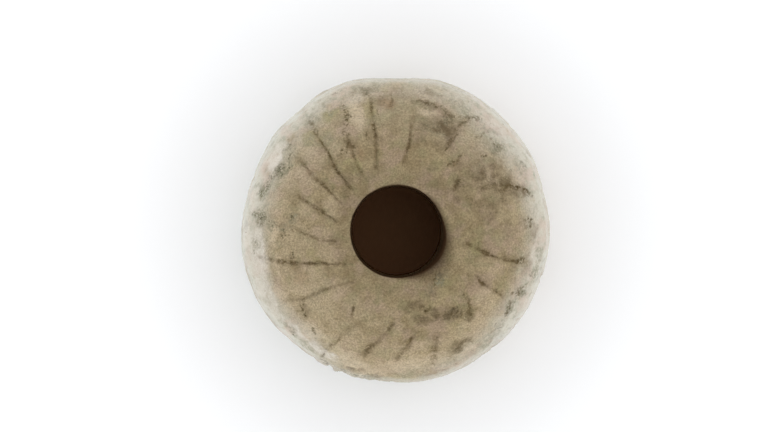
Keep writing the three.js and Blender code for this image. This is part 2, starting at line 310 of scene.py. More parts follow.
MOSSES = (  # grey-green bloom
    (153, 13.6, 1.4, 0.8, 1),
    (148, 13, 1, 0.7, 0.7),
    (143, 13.6, 0.8, 1.1, 0.7),
    (164, 14.4, 1.1, 0.9, 1),
    (160, 14.1, 0.9, 0.6, 0.7),
    (174, 14.1, 1.5, 1, 1),
    (178, 11.7, 0.8, 1, 0.6),
    (173, 10.8, 0.8, 0.7, 0.7),
    (185, 14.5, 1.2, 0.8, 0.5),
    (186, 12.1, 0.6, 0.5, 0.4),
    (134, 13, 0.9, 0.9, 0.6),
    (127, 14.4, 1.4, 0.8, 0.5),
    (119, 13.9, 1.1, 0.7, 0.8),
    (114, 14, 0.8, 0.6, 0.7),
    (126, 11.9, 1, 1.1, 0.5),
    (101, 15, 1.6, 0.7, 0.6),
    (66, 12.2, 0.9, 1.3, 0.6),
    (69, 11.2, 2.6, 1.2, 0.6),
    (62, 14.3, 2.4, 0.7, 0.6),
    (40, 13.3, 1.4, 1, 0.8),
    (28, 14.4, 1.8, 0.7, 0.5),
    (317, 14.4, 1.6, 0.7, 0.4),
    (327, 14.1, 1.4, 0.8, 0.9),
    (335, 14.5, 1, 0.9, 0.8),
    (343, 14.9, 1.4, 0.6, 0.7),
    (352, 15, 1.4, 0.5, 0.6),
    (309, 14.8, 1.8, 0.7, 0.5),
    (222, 15, 1.6, 0.5, 0.6),
    (232, 15.2, 1.6, 0.5, 0.5),
    (218, 10.6, 0.9, 1.4, 0.3),
    (313, 6.4, 1.1, 1, 1),
    (177, 12.9, 0.9, 0.6, 0.8),
    (152, 13, 0.8, 0.5, 0.7),
    (39, 13.5, 1.8, 1, 0.5),
    (300, 6.7, 0.8, 0.6, 0.5),
    (304, 10.1, 1.2, 0.8, 0.5),
    (46, 12.8, 2.4, 1.4, 0.2),
)
SPECKS = (  # dark grains
    (38, 7.7, 0.3, 0.4, 1),
    (346, 13, 0.55, 0.5, 1),
    (64, 13, 0.45, 0.4, 0.9),
    (78, 13.5, 0.7, 0.35, 0.7),
    (123, 12.7, 0.25, 0.22, 0.9),
    (108, 10, 0.3, 0.45, 0.8),
    (113, 12.7, 0.5, 0.4, 0.7),
    (103, 15, 0.6, 0.3, 0.5),
    (142, 14.2, 0.7, 0.7, 0.6),
    (145, 13.3, 0.5, 0.5, 0.8),
    (149, 12.9, 0.7, 0.5, 0.8),
    (153, 13.7, 1.1, 0.7, 1),
    (156, 14.1, 0.5, 0.4, 0.8),
    (164, 14.5, 0.8, 0.7, 1),
    (161, 14.2, 0.5, 0.4, 0.7),
    (175, 13.9, 1, 0.8, 1),
    (173, 14.7, 0.6, 0.5, 0.7),
    (172, 11, 0.4, 0.4, 0.9),
    (176, 10.75, 0.4, 0.4, 0.6),
    (179, 11.5, 0.35, 0.5, 0.9),
    (182, 11.5, 0.9, 0.4, 1),
    (193, 11, 0.3, 0.3, 0.9),
    (189, 15, 0.3, 0.3, 0.8),
    (200, 13.2, 0.22, 0.22, 0.6),
    (223, 12.7, 0.5, 0.4, 0.9),
    (218, 12.25, 0.4, 0.4, 0.7),
    (230, 13.5, 0.25, 0.25, 0.7),
    (225, 15, 0.6, 0.35, 0.7),
    (256, 12.75, 0.45, 0.4, 1),
    (275, 10.1, 0.3, 0.28, 0.9),
    (282, 10.5, 0.3, 0.3, 0.5),
    (289, 8.7, 0.4, 0.4, 1),
    (306, 10, 0.7, 0.45, 1),
    (317, 9.5, 0.3, 0.3, 0.8),
    (312, 11.4, 0.4, 0.4, 0.6),
    (298, 13.5, 0.9, 0.5, 0.7),
    (304, 13.6, 0.5, 0.4, 0.5),
    (334, 14.1, 0.6, 0.5, 0.55),
    (326, 14, 0.6, 0.4, 0.55),
    (323, 14.2, 0.5, 0.5, 0.5),
    (314, 14.5, 0.6, 0.5, 0.3),
    (341, 14.7, 0.3, 0.7, 0.5),
    (22, 12.75, 0.8, 0.5, 0.8),
    (16, 14, 0.4, 0.5, 0.8),
    (27, 11, 0.6, 0.5, 0.5),
    (40, 13.25, 0.9, 0.5, 0.5),
    (39, 14.2, 0.5, 0.4, 0.6),
    (40, 11.5, 0.35, 0.3, 0.6),
    (59, 10.9, 0.4, 0.5, 0.9),
    (51, 8.75, 0.4, 0.38, 1),
    (40, 8, 0.4, 0.32, 1),
    (177, 12.75, 0.6, 0.35, 0.8),
    (137, 13.4, 0.3, 0.3, 0.4),
    (50, 10.1, 0.3, 0.3, 0.9),
    (4, 13.75, 0.35, 0.3, 0.7),
    (270, 15, 2.2, 0.3, 0.3),
    (28, 13.2, 0.4, 0.3, 0.5),
    (242, 15.75, 1.3, 0.3, 1),
    (255, 15.75, 1.3, 0.3, 1),
    (247, 15.8, 0.5, 0.3, 0.6),
    (54, 13, 0.3, 0.3, 0.5),
    (250, 15.3, 1.2, 0.25, 0.3),
)
OLIVES = (  # yellow-green stone
    (124, 8, 1.3, 1.2, 0.8),
    (119, 13.8, 1.4, 0.9, 0.7),
    (133, 13.2, 1, 1.1, 0.6),
    (126, 12, 1.2, 1.2, 0.5),
    (103, 12.6, 0.8, 1.8, 0.5),
    (199, 9, 2, 0.8, 0.5),
    (258, 15.7, 3.6, 0.5, 0.7),
    (274, 15.5, 3, 0.5, 0.5),
    (240, 13.6, 2, 0.8, 0.3),
    (347, 8, 1.4, 0.7, 0.6),
    (312, 7.6, 2.4, 0.9, 0.4),
    (90, 15, 2.4, 0.8, 0.3),
)
OCHRES = (  # yellow-brown stone
    (94, 13.25, 1.4, 1.1, 1),
    (117, 9.2, 1.2, 1.6, 0.5),
    (262, 13.8, 3.4, 1.1, 0.2),
    (204, 10.8, 1.8, 1.2, 0.35),
    (146, 10.2, 0.8, 1.6, 0.3),
)
LIGHTS = (  # paler stone; the broad patches towards -X and -Y are painted light
    (214, 10.8, 5, 3.6, 0.6),
    (160, 7, 1.9, 1.5, 0.5),
    (136, 12.9, 1.5, 1.1, 0.5),
    (226, 7.7, 1.7, 1, 0.3),
    (244, 8.9, 2.6, 1.8, 0.4),
    (305, 12.4, 2.4, 1.3, 0.5),
    (286, 13.6, 2.2, 1, 1),
    (256, 14.6, 4.4, 1.1, 1),
    (186, 10.4, 3.8, 3.4, 0.4),
    (192, 7.6, 3.2, 1.6, 0.5),
    (240, 12, 4.6, 3, 0.5),
    (262, 12.6, 4, 2, 0.4),
    (272, 13.7, 4.4, 1.3, 1),
    (244, 14, 4.4, 1.3, 1),
    (300, 14.2, 1.8, 0.6, 0.8),
    (232, 13.6, 3, 1.3, 0.9),
    (196, 12.7, 1.8, 0.8, 0.8),
    (181, 12.7, 2, 0.9, 0.9),
    (212, 13.6, 2.4, 0.8, 0.7),
    (290, 12.6, 2.6, 1.8, 0.5),
    (310, 12.6, 3.6, 1.6, 0.6),
    (120, 9.2, 1.6, 1.4, 0.4),
    (271, 12.4, 1.4, 0.9, 0.6),
    (142, 13.4, 2.4, 0.9, 0.6),
    (198, 12.4, 2, 1.2, 0.6),
    (264, 9.8, 2.6, 0.9, 0.4),
    (338, 10, 2.2, 2.2, 0.2),
    (322, 11.4, 2, 1.6, 0.6),
    (315, 14.1, 1.8, 0.9, 0.5),
    (75, 12.6, 1.7, 0.8, 1),
    (109, 12.6, 1.1, 2.4, 1),
    (149, 10.6, 1, 2.4, 0.6),
    (139, 11.4, 1.2, 2.2, 0.4),
    (127, 10.6, 0.9, 1.8, 0.3),
    (156, 12.2, 1.4, 1.8, 0.3),
    (168, 12.4, 1.8, 1.4, 0.4),
    (166, 9.4, 1.6, 1.6, 0.35),
    (222, 9.2, 2.2, 2, 0.5),
    (230, 11.4, 2, 2.2, 0.4),
    (50, 12, 2.6, 1.6, 0.35),
    (278, 12.4, 2.8, 1.2, 0.6),
    (185, 8.8, 1.6, 1.2, 0.4),
    (32, 10.6, 1.2, 1.2, 0.3),
)
SKINS = (  # pinkish white skin on the rim
    (188, 14.4, 3.6, 1.2, 0.8),
    (200, 14.7, 3.6, 0.9, 0.6),
    (212, 15.1, 3.2, 0.7, 0.5),
    (149, 14.7, 2.2, 0.9, 1),
    (108, 14.2, 1.4, 0.6, 0.2),
    (170, 15.2, 3, 0.5, 0.5),
    (181, 15.5, 2.2, 0.5, 1),
    (203, 15.4, 3.2, 0.5, 0.7),
    (238, 14.6, 2.4, 0.6, 0.9),
    (226, 14.6, 2, 0.6, 0.7),
    (45, 15, 2.2, 0.5, 0.4),
    (352, 14.4, 2.2, 0.6, 0.4),
)
PATCH_CORE = 0.35  # share of a mark's half size that is at full strength

# The rim's pale weathering and painted light start and are whole at these shares of the rim's radius
PALE_START = 0.752
PALE_END = 0.955
PALE_SHIFTS = (  # angle, and how much further out both lie there
    (0, 0.0),
    (20, -0.01),
    (45, -0.035),
    (75, 0.02),
    (95, 0.05),
    (112, 0.03),
    (150, -0.01),
    (185, -0.01),
    (215, 0.015),
    (240, 0.005),
    (265, 0.05),
    (285, 0.05),
    (305, 0.02),
    (320, -0.01),
    (345, -0.01),
)
PALE_DIM = ((85, 45, 0.35), (262, 43, 0.78), (303, 18, 0.3))  # angle, half width, share missing; there the painted light is weaker
# A thin haze of the same weathering and painted light reaches further in
HAZE_START = 0.5
HAZE_STRETCH = (85, 125)  # angle, half width
HAZE_STRENGTH = 0.2
# Where the weathering is a crust with a clear edge: angle, share of the rim's radius
CRUST_EDGE = ((180, 0.83), (186, 0.825), (198, 0.87), (211, 0.9), (220, 0.92))
CRUST_EDGE_WIDTH = 0.02
CRUST_STRETCH = (199, 24)
CRUST_STRENGTH = 0.9

# The pale weathering and painted light break up low on the side and are rubbed below the arris
LOW_SIDE = (2.6, 5.6)  # limits of the height
LOW_SIDE_SWAY = (1.1, 0.7)  # how far broad and medium noise move them
LOW_PATCH_LIMITS = (-0.55, 0.45)  # of broad noise with a share of medium noise
LOW_PATCH_MIX = 0.7
LOW_PATCH_STRENGTH = 0.75
RUBBED_LIMITS = (0.05, 0.55)  # of medium noise less a share of broad noise
RUBBED_MIX = 0.5
RUBBED_DROP = 2.0  # below the arris
RUBBED_STRENGTH = 0.55
FLANK_RISE = 0.3  # the side's paler colour, partly painted light, starts this far above the arris
FLANK_DROP = 1.6

# Painted shade in the hole and on its upper mouth, and dirt round the mouth
SHADE_RADIUS = 4.86  # painted shade darkens the upper mouth out to here
MOUTH_SHADES = ((325, 62, 2.05), (25, 40, 0.45))  # angle, half width, how much further it reaches
SHADE_SHAPE = 1.35
DEEP_WALL = (2.6, 10.2)  # limits of the depth below the upper face
GRIME_RADIUS = 6.9
GRIME_FADE = 1.3
GRIME_STRENGTH = 0.22

PIT_SOIL = 0.3
BITE_SOIL = 0.12
FRESH_CHIP = (0.05, 0.2)  # limits of a chip's depth where its stone turns pale

# Chips broken out of the rim: (angle, radius, height), half sizes round, out and along
CHIPS = (
    ((245, 15.85, 6.6), (0.75, 0.5, 0.9)),
    ((237, 16.05, 5), (0.5, 0.3, 1.6)),
    ((243, 16.1, 5), (0.65, 0.5, 1.8)),
    ((250, 16.1, 5), (0.8, 0.5, 1.8)),
    ((262, 16.05, 5), (0.6, 0.5, 1.6)),
    ((257, 15.8, 6.4), (0.5, 0.35, 0.8)),
    ((261, 15.3, 8.2), (0.95, 0.5, 0.6)),
    ((267, 15.75, 6.6), (0.6, 0.3, 0.7)),
    ((336, 15.9, 6.2), (0.6, 0.3, 0.7)),
    ((346, 15.55, 7.9), (0.8, 0.35, 0.7)),
    ((178, 15.6, 8.1), (0.9, 0.4, 0.6)),
    ((118, 16.35, 6), (1.1, 0.45, 0.9)),
    ((15, 16.05, 5), (0.4, 0.35, 1.2)),
    ((42, 16.35, 5), (0.6, 0.35, 1.2)),
    ((159, 16.1, 5), (0.4, 0.25, 1.2)),
    ((264, 16, 5), (0.5, 0.35, 1.5)),
    ((309, 16, 5), (0.5, 0.3, 1.5)),
    ((342, 16, 5), (0.45, 0.3, 1.3)),
)
CHIP_RAGGEDNESS = 0.5  # how far medium noise changes a chip's outline

# Camera and floor
SENSOR_WIDTH = 36.0
CAMERA_RISE = 250.0  # above the girth
VIEW_WIDTH = 80.33  # across the camera's view, at the girth
VIEW_OFFSET = (-1.31, 1.55)  # from the hole's axis to the middle of the view
FLOOR_RADIUS = 1500.0
FLOOR_DROP = 0.02
FLOOR_SIDES = 96

# Studio light: even low down all round, and dark overhead
LIGHT_STRENGTH = 3.2
HORIZON = (0.978, 1.035, 1.075, 1.0)
ZENITH = (0.045, 0.022, 0.011, 1.0)
ZENITH_LEAN = (1.5, 0.7, 0.0)  # the light overhead grows in this direction
DARK_FROM = 0.42  # height on the unit sphere
DARK_TO = 0.8


def srgb(red, green, blue):
    """A screen colour from 0 to 255 as the linear colour that a shader takes."""
    def linear(level):
        share = level / 255
        return share / 12.92 if share <= 0.04045 else ((share + 0.055) / 1.055) ** 2.4
    return (linear(red), linear(green), linear(blue), 1.0)


STONE_LIGHT = srgb(139, 124, 96)
STONE_DARK = srgb(118, 103, 77)
STONE_PINK = srgb(143, 124, 105)
STONE_GREEN = srgb(119, 111, 82)
# RIM_PALE, RIM_GREY and RIM_PINK: the rim's pale weathering, partly painted light from the bright
# surround
RIM_PALE = srgb(170, 164, 151)
RIM_GREY = srgb(147, 144, 129)
RIM_PINK = srgb(170, 157, 144)
SKIN_WHITE = srgb(179, 170, 158)
# FLANK: the paler side below the arris, partly painted light from the bright surround
FLANK = srgb(176, 174, 168)
MOSS = srgb(113, 109, 90)
OLIVE = srgb(134, 124, 90)
STAIN = srgb(74, 62, 41)
SOIL = srgb(80, 66, 43)
CLOUD = srgb(92, 79, 60)
SPECK = srgb(72, 64, 47)
OCHRE = srgb(124, 101, 73)
# LIGHT: paler stone; its broad patches towards -X and -Y are painted light
LIGHT = srgb(158, 142, 117)
# WALL: painted shade at the top of the hole's wall. WALL_DEEP: the wall's colour further down, made paler
# as painted light on the dim lower wall
WALL = srgb(46, 31, 19)
WALL_DEEP = srgb(167, 138, 101)
FLOOR_WHITE = srgb(246, 246, 246)

# Marks in the order they are laid on: attribute, colour, size of the grain that breaks up the
# mark, and limits of that grain
STONE_AND_LIGHT_MARKS = (
    ("light", LIGHT, 0.9, 0.2, 0.55),
    ("ochre", OCHRE, 0.8, 0.3, 0.6),
)
RIM_MARKS = (
    ("olive", OLIVE, 1.0, 0.25, 0.6),
    ("skin", SKIN_WHITE, 0.9, 0.2, 0.55),
)
DIRT_MARKS = (
    ("moss", MOSS, 0.3, 0.34, 0.62),
    ("cloud", CLOUD, 1.2, 0.25, 0.65),
    ("speck", SPECK, 0.22, 0.44, 0.66),
    ("stain", STAIN, 0.34, 0.43, 0.57),
    ("soil", SOIL, 0.32, 0.26, 0.6),
)
PALE_GRAIN = (1.3, 0.1, 0.5)
PINK_STRENGTH = 0.65
GREEN_STRENGTH = 0.6
FLANK_STRENGTH = 0.4
DOT_STRENGTH = 0.35
WALL_SHADES = (0.75, 1.25)  # the stains of the hole's wall
NOISE_SPREAD = (0.3, 0.7)  # where most of the noise's levels lie

# Finest grain of the stone
GRAIN_SHADE = 0.42  # how much lighter and darker it makes the stone, at full contrast
GRAIN_CONTRAST = 0.72
PALE_CONTRAST_LOSS = 0.55  # the pale weathering and painted light hide this much of it
ROUGHNESS = (0.75, 0.95)
FINE_BUMP = 0.5
BUMP_STRENGTH = 0.7
BUMP_DEPTH = 0.05


# ---- shape

def turn_between(angle_a, angle_b):
    """How far apart two directions are, from 0 to 180 degrees."""
    return np.abs((angle_a - angle_b + 180) % 360 - 180)


def swell(distance, half_width):
    """1 at the centre, falling smoothly to 0 at the half width."""
    share = np.clip(distance / half_width, 0, 1)
    return np.cos(share * math.pi / 2) ** 2


def smooth_step(value, low, high):
    share = np.clip((value - low) / (high - low), 0, 1)
    return share * share * (3 - 2 * share)


def swell_round(angle, centre, half_width):
    """1 in one direction, falling smoothly to 0 at the half width on either side of it."""
    return swell(turn_between(angle, centre), half_width)


def on_plan(angle, radius):
    """The x and y of a place given by its angle and radius."""
    turn = np.radians(angle)
    return radius * np.cos(turn), radius * np.sin(turn)


def rim_radius(angle):
    turn = np.radians(angle)
    radius = RIM_RADIUS + RIM_OFFSET[0] * np.cos(turn) + RIM_OFFSET[1] * np.sin(turn)
    for centre, half_width, depth in RIM_FLATS:
        radius = radius - depth * swell_round(angle, centre, half_width)
    return radius


def mouth_wear(angle):
    """How worn the upper mouth is at an angle, from 0 to 1."""
    return swell_round(angle, MOUTH_WEAR["angle"], MOUTH_WEAR["half_width"])


def wall_radius(angle, height):
    waist = HOLE_WAIST * np.sin(math.pi * height / HEIGHT)
    flare = MOUTH_WEAR["depth"] * mouth_wear(angle) * swell(HEIGHT - height, MOUTH_WEAR["reach"])
    return HOLE_RADIUS - waist + flare


def shoulder_size(angle):
    return HOLE_EDGE + MOUTH_WEAR["shoulder"] * mouth_wear(angle)


def dome_height(angle, radius):
    """Height of the unworn upper face: a level collar, then part of an ellipse to the arris."""
    arris = rim_radius(angle) * ARRIS_RATIO
    share = np.clip(radius - COLLAR_RADIUS, 0, None) / (arris - COLLAR_RADIUS)
    fall = 1 - np.sqrt(1 - (DOME_ARC * np.clip(share, 0, 1)) ** 2)
    whole_fall = 1 - math.sqrt(1 - DOME_ARC ** 2)
    return HEIGHT - (HEIGHT - ARRIS_HEIGHT) * fall / whole_fall


def wall_stations(angle, count):
    """Hole wall from the rounded lower mouth to below the shoulder of the upper one."""
    share = (1 - np.cos(np.linspace(0, math.pi / 2, count + 1)[:-1, None])) * np.ones_like(angle)
    height = share * (HEIGHT - shoulder_size(angle))
    inside = np.clip(LOWER_EDGE - height, 0, LOWER_EDGE)
    rounding = LOWER_EDGE - np.sqrt(LOWER_EDGE ** 2 - inside ** 2)
    return wall_radius(angle, height) + rounding, height


def mouth_stations(angle, count):
    """Shoulder of the upper mouth, a quarter circle."""
    turn = np.linspace(0, math.pi / 2, count)[:, None]
    size = shoulder_size(angle)
    height = HEIGHT - size * (1 - np.sin(turn))
    return wall_radius(angle, height) + size * (1 - np.cos(turn)), height


def collar_stations(angle, count):
    share = np.linspace(0, 1, count + 1)[1:, None]
    mouth = wall_radius(angle, HEIGHT) + shoulder_size(angle)
    radius = mouth + (COLLAR_RADIUS - mouth) * share
    return radius, HEIGHT + 0 * radius


def dome_stations(angle, count):
    share = np.linspace(0, 1, count + 1)[1:, None]
    arris = rim_radius(angle) * ARRIS_RATIO
    radius = COLLAR_RADIUS + (arris - COLLAR_RADIUS) * share
    return radius, dome_height(angle, radius)


def side_stations(angle, count):
    above = 1 - np.linspace(0, 1, count + 1)[1:, None]
    rim = rim_radius(angle)
    radius = rim - rim * (1 - ARRIS_RATIO) * above ** 2
    return radius, GIRTH_HEIGHT + (ARRIS_HEIGHT - GIRTH_HEIGHT) * above + 0 * radius


def underside_stations(angle, count):
    turn = np.linspace(0, math.pi / 2, count + 1)[1:, None]
    radius = BASE_RADIUS + (rim_radius(angle) - BASE_RADIUS) * np.cos(turn)
    return radius, GIRTH_HEIGHT * (1 - np.sin(turn)) + 0 * radius


def base_stations(angle, count):
    share = np.linspace(0, 1, count + 2)[1:-1, None]
    radius = BASE_RADIUS + (HOLE_RADIUS + LOWER_EDGE - BASE_RADIUS) * share + 0 * angle
    return radius, 0 * radius


def cross_sections():
    """Angle, radius and height of every grid point, and its outward normal in the section."""
    angle = np.arange(COLUMNS) * 360 / COLUMNS
    makers = {
        "wall": wall_stations,
        "mouth": mouth_stations,
        "collar": collar_stations,
        "dome": dome_stations,
        "side": side_stations,
        "underside": underside_stations,
        "base": base_stations,
    }
    stretches = [makers[name](angle, count) for name, count in STATIONS.items()]
    radius = np.concatenate([stretch[0] for stretch in stretches])
    height = np.concatenate([stretch[1] for stretch in stretches])
    run = np.roll(radius, -1, axis=0) - np.roll(radius, 1, axis=0)
    rise = np.roll(height, -1, axis=0) - np.roll(height, 1, axis=0)
    length = np.hypot(run, rise)
    return angle + 0 * radius, radius, height, -rise / length, run / length


# ---- noise and marks

def rough_field(places, size, octaves, seed):
    """Fractal noise, about -1 to 1, with swells about `size` millimetres across."""
    start = Vector([seed * step for step in FIELD_STEP])
    levels = [
        noise.fractal(Vector(place) / size + start, FALLOFF, LACUNARITY, octaves)
        for place in places.reshape(-1, 3)
    ]
    return np.array(levels).reshape(places.shape[:-1])


def pit_field(places, size, seed):
    """1 at the middle of each scattered pit, falling to 0 between the pits."""
    start = Vector([seed * step for step in PIT_STEP])
    nearest = [noise.voronoi(Vector(place) / size + start)[0][0] for place in places.reshape(-1, 3)]
    return 1 - smooth_step(np.array(nearest), 0.0, PIT_RADIUS).reshape(places.shape[:-1])


def patch(angle, radius, place):
    """A soft-edged patch on the upper face, 1 in its middle."""
    mid_angle, mid_radius, half_round, half_along = place
    around = radius * np.radians((angle - mid_angle + 180) % 360 - 180) / half_round
    along = (radius - mid_radius) / half_along
    return 1 - smooth_step(np.hypot(around, along), PATCH_CORE, 1.0)


def strongest(marks, angle, radius):
    """The strongest mark at each point of the upper face."""
    strength = np.zeros(radius.shape)
    for *place, strong in marks:
        strength = np.maximum(strength, strong * patch(angle, radius, place))
    return strength


def stroke_path(points):
    """The stroke's points in x and y."""
    turns = [(math.radians(angle), radius) for angle, radius, _ in points]
    return [(radius * math.cos(turn), radius * math.sin(turn)) for turn, radius in turns]


def stroke_distance(x, y, path):
    """Signed distance from the path, distance travelled along it, and how far along its points are."""
    side = np.full(x.shape, np.inf)
    along = np.zeros(x.shape)
    travelled = 0.0
    stops = [0.0]
    for (ax, ay), (bx, by) in zip(path, path[1:]):
        length = math.hypot(bx - ax, by - ay)
        ux, uy = (bx - ax) / length, (by - ay) / length
        here = np.clip((x - ax) * ux + (y - ay) * uy, 0, length)
        gap_x, gap_y = x - ax - ux * here, y - ay - uy * here
        gap = np.hypot(gap_x, gap_y)
        nearer = gap < np.abs(side)
        sign = np.where(ux * gap_y - uy * gap_x < 0, -1.0, 1.0)
        side = np.where(nearer, gap * sign, side)
        along = np.where(nearer, travelled + here, along)
        travelled += length
        stops.append(travelled)
    return side, along, stops


def along_noise(along, size, seed):
    """Noise along a line, about -1 to 1."""
    knots = np.arange(0, LONGEST_STROKE, size)
    places = [Vector((KNOT_STEP * knot, LINE_STEP * seed, LINE_HEIGHT)) for knot in range(len(knots))]
    return np.interp(along, knots, [2 * noise.noise(place) for place in places])


def unevenness(along, kind, number):
    """How far a stroke or stain strays along its length. Each number gives another pattern."""
    amount, size, first_seed = kind
    return amount * along_noise(along, size, first_seed + number)


def cut_strokes(x, y):
    """Depth of the strokes and the soil in them at each point of the upper face."""
    depth = np.zeros(x.shape)
    soil = np.zeros(x.shape)
    core_strength, core_reach = SOIL_CORE
    halo_strength, halo_reach = SOIL_HALO
    for number, (half_width, deep, points) in enumerate(STROKES, start=1):
        side, along, stops = stroke_distance(x, y, stroke_path(points))
        side = side + unevenness(along, STROKE_WANDER, number)
        left = np.interp(along, stops, [dirt for _, _, dirt in points])
        width = half_width * (1 + unevenness(along, STROKE_WIDENING, number))
        whole = np.clip(np.minimum(along, stops[-1] - along) / TAPER_LENGTH, 0, 1) ** TAPER_SHAPE
        whole = np.where((along <= 0) | (along >= stops[-1]), 0, whole)
        across = np.clip(1 - np.abs(side) / width, 0, 1)
        depth = np.maximum(depth, CUT_SHARE * deep * whole * (1 + left) / 2 * across ** CUT_SHAPE)
        core = core_strength * np.clip(core_reach - np.abs(side) / width, 0, 1)
        halo = halo_strength * np.clip(1 - np.abs(side) / (halo_reach * width), 0, 1)
        patchy = np.clip(1 + unevenness(along, SOIL_PATCHES, number), *SOIL_PATCH_LIMITS)
        soil = np.maximum(soil, left * whole * np.maximum(core * patchy, halo))
    return depth, soil


def scratch_stains(x, y):
    """Soil in the shallow scratches at each point of the upper face."""
    soil = np.zeros(x.shape)
    for number, (half_width, points) in enumerate(STAINS, start=1):
        side, along, stops = stroke_distance(x, y, stroke_path(points))
        side = side + unevenness(along, STAIN_WANDER, number)
        left = np.interp(along, stops, [dirt for _, _, dirt in points])
        width = half_width * (1 + unevenness(along, STAIN_WIDENING, number))
        soil = np.maximum(soil, left * np.clip(STAIN_REACH - np.abs(side) / width, 0, 1))
    return soil


def chip_depth(x, y, z, raggedness):
    """How deep each point sinks into the bed of a chip."""
    depth = np.zeros(x.shape)
    for (angle, radius, height), (half_round, half_out, half_along) in CHIPS:
        turn = math.radians(angle)
        out = x * math.cos(turn) + y * math.sin(turn) - radius
        around = -x * math.sin(turn) + y * math.cos(turn)
        ball = 1 - (around / half_round) ** 2 - ((z - height) / half_along) ** 2
        ball = ball + CHIP_RAGGEDNESS * raggedness
        inner = -half_out * np.sqrt(np.clip(ball, 0, None))
        depth = np.maximum(depth, np.where(ball > 0, np.clip(out - inner, 0, 2 * half_out), 0))
    return depth


def rim_weathering_and_painted_light(angle, radius):
    """How far the pale weathering and painted light of the rim have gone, from 0 to 1."""
    turns, shifts = zip(*PALE_SHIFTS)
    shift = np.interp(angle, turns, shifts, period=360)
    share = radius / rim_radius(angle)
    haze = HAZE_STRENGTH * swell_round(angle, *HAZE_STRETCH)
    done = (1 - haze) * smooth_step(share, PALE_START + shift, PALE_END + shift)
    done = done + haze * smooth_step(share, HAZE_START, PALE_START + shift)
    edge = np.interp(angle, *zip(*CRUST_EDGE))
    crust = smooth_step(share, edge, edge + CRUST_EDGE_WIDTH) * swell_round(angle, *CRUST_STRETCH)
    done = np.maximum(done, CRUST_STRENGTH * np.sqrt(crust))
    for centre, half_width, missing in PALE_DIM:
        done = done * (1 - missing * swell_round(angle, centre, half_width))
    return done


# ---- relief, dirt, and painted light and shade

class Surface:
    """Every grid point before any relief, the noise there and the regions that it lies in."""

    def __init__(self):
        self.angle, self.radius, self.height, self.out, self.up = cross_sections()
        self.x, self.y = on_plan(self.angle, self.radius)
        places = np.stack([self.x, self.y, self.height], axis=-1)

        self.broad = rough_field(places, *BROAD)
        self.medium = rough_field(places, *MEDIUM)
        self.fine = rough_field(places, *FINE)
        self.pits = pit_field(places, *PITS)
        self.small_pits = pit_field(places, *SMALL_PITS)
        self.bites = smooth_step(rough_field(places * BITE_STRETCH, *BITES), *BITE_LIMITS)
        wander = DRIFT * rough_field(places, *DRIFT_AROUND)
        self.drifted_angle = self.angle + np.degrees(wander / self.radius)
        self.drifted_radius = self.radius + DRIFT * rough_field(places, *DRIFT_ALONG)

        height, share = self.height, self.radius / rim_radius(self.angle)
        self.facing_up = smooth_step(self.up, *FACING_UP)
        self.upper = smooth_step(height, *UPPER_HEIGHTS) * smooth_step(self.out + self.up, *UPPER_SLOPES)
        self.outer = smooth_step(share, *OUTER_SHARES) * smooth_step(height, *OUTER_HEIGHTS)
        self.wall = smooth_step(-self.out, *WALL_SLOPES)
        self.base = smooth_step(-self.up, *BASE_SLOPES)
        self.pitted = self.outer * smooth_step(self.broad + PITTED_MIX * self.medium, *PITTED_LIMITS)
        broken = sum(strong * swell_round(self.angle, *stretch) for *stretch, strong in RAGGED)
        self.ragged = broken * smooth_step(share, *RAGGED_SHARES) * smooth_step(height, *RAGGED_HEIGHTS)


def relief_depth(surface, cut):
    """How far each point sinks into the stone, chips apart."""
    broad, medium, fine = 1 + surface.broad, 1 + surface.medium, 1 + surface.fine
    outer = surface.outer
    hollow = 0
    for *place, deep in HOLLOWS:
        hollow = hollow + deep * patch(surface.angle, surface.radius, place)

    pit_depth = PIT_DEPTH * surface.pits * surface.pitted
    pit_depth = pit_depth + SMALL_PIT_DEPTH * surface.small_pits * (STRAY_PITS + surface.pitted)
    roughness = BROAD_ROUGHNESS * broad
    roughness = roughness + (MEDIUM_ROUGHNESS + OUTER_MEDIUM_ROUGHNESS * outer) * medium
    roughness = roughness + (FINE_ROUGHNESS + OUTER_FINE_ROUGHNESS * outer) * fine
    broken = surface.ragged * (BITE_DEPTH * surface.bites + BITE_ROUGHNESS * fine)
    relief = INSET + roughness + pit_depth + broken + surface.facing_up * (cut + hollow)

    loose = 1 - swell_round(surface.angle, *TIGHT_MOUTH)
    wall_roughness = WALL_MEDIUM_ROUGHNESS * medium + WALL_FINE_ROUGHNESS * fine
    relief = np.where(surface.wall > 0.5, INSET + wall_roughness * loose, relief)
    return relief * (1 - surface.base)


def carve(surface, cut):
    """Radius and height of each point after relief and chips, and how deep the chips are there."""
    relief = relief_depth(surface, cut)
    radius = surface.radius - surface.out * relief
    height = np.clip(surface.height - surface.up * relief, 0, HEIGHT)
    chipped = chip_depth(*on_plan(surface.angle, radius), height, surface.medium)
    return radius - chipped, height, chipped


def hole_shade(surface, radius, height):
    """How much painted shade darkens the hole's wall and its upper mouth, from 0 to 1."""
    end = SHADE_RADIUS
    for centre, half_width, reach in MOUTH_SHADES:
        end = end + reach * swell_round(surface.angle, centre, half_width)
    start = wall_radius(surface.angle, HEIGHT)
    shaded = np.clip((end - radius) / (end - start), 0, 1) ** SHADE_SHAPE * (height > HEIGHT / 2)
    return np.maximum(shaded, surface.wall * (radius < COLLAR_RADIUS))


def side_wear(surface, height):
    """Where the foot of the side shows, how patchy it is, and where the side is rubbed."""
    broad, medium = surface.broad, surface.medium
    sway = height + LOW_SIDE_SWAY[0] * broad + LOW_SIDE_SWAY[1] * medium
    low = 1 - smooth_step(sway, *LOW_SIDE)
    patchy = smooth_step(broad + LOW_PATCH_MIX * medium, *LOW_PATCH_LIMITS)
    rubbed = smooth_step(medium - RUBBED_MIX * broad, *RUBBED_LIMITS)
    return low, patchy, rubbed * smooth_step(ARRIS_HEIGHT - height, 0.0, RUBBED_DROP)


